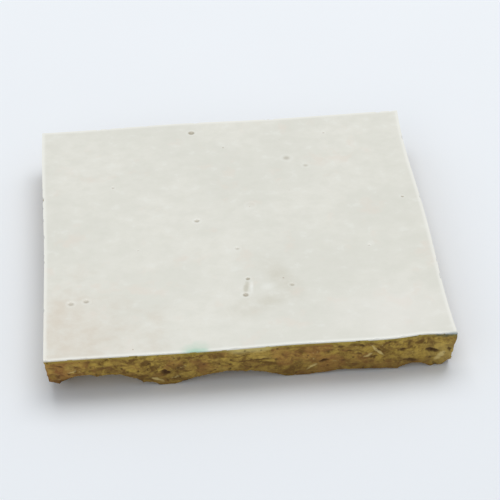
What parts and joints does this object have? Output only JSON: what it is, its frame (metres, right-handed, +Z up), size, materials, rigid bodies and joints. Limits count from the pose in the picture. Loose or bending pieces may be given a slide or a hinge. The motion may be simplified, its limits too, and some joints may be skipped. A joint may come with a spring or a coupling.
{
  "type": "moroccan mosaic tile",
  "caption": "Square hand-cut glazed clay tile, about 100 mm across and 12 mm thick, with an off-white face and chiselled, undercut sides.",
  "frame": {"origin": "middle of the underside, on the plane that the tile lies on", "axes": "+Z up through the glazed face, +X to the right along the front side, the front side faces -Y"},
  "size_m": [0.0998, 0.0995, 0.012],
  "materials": {
    "tile": "gloss"
  },
  "bodies": {
    "root": {"tile": "tile"}
  },
  "joints": []
}
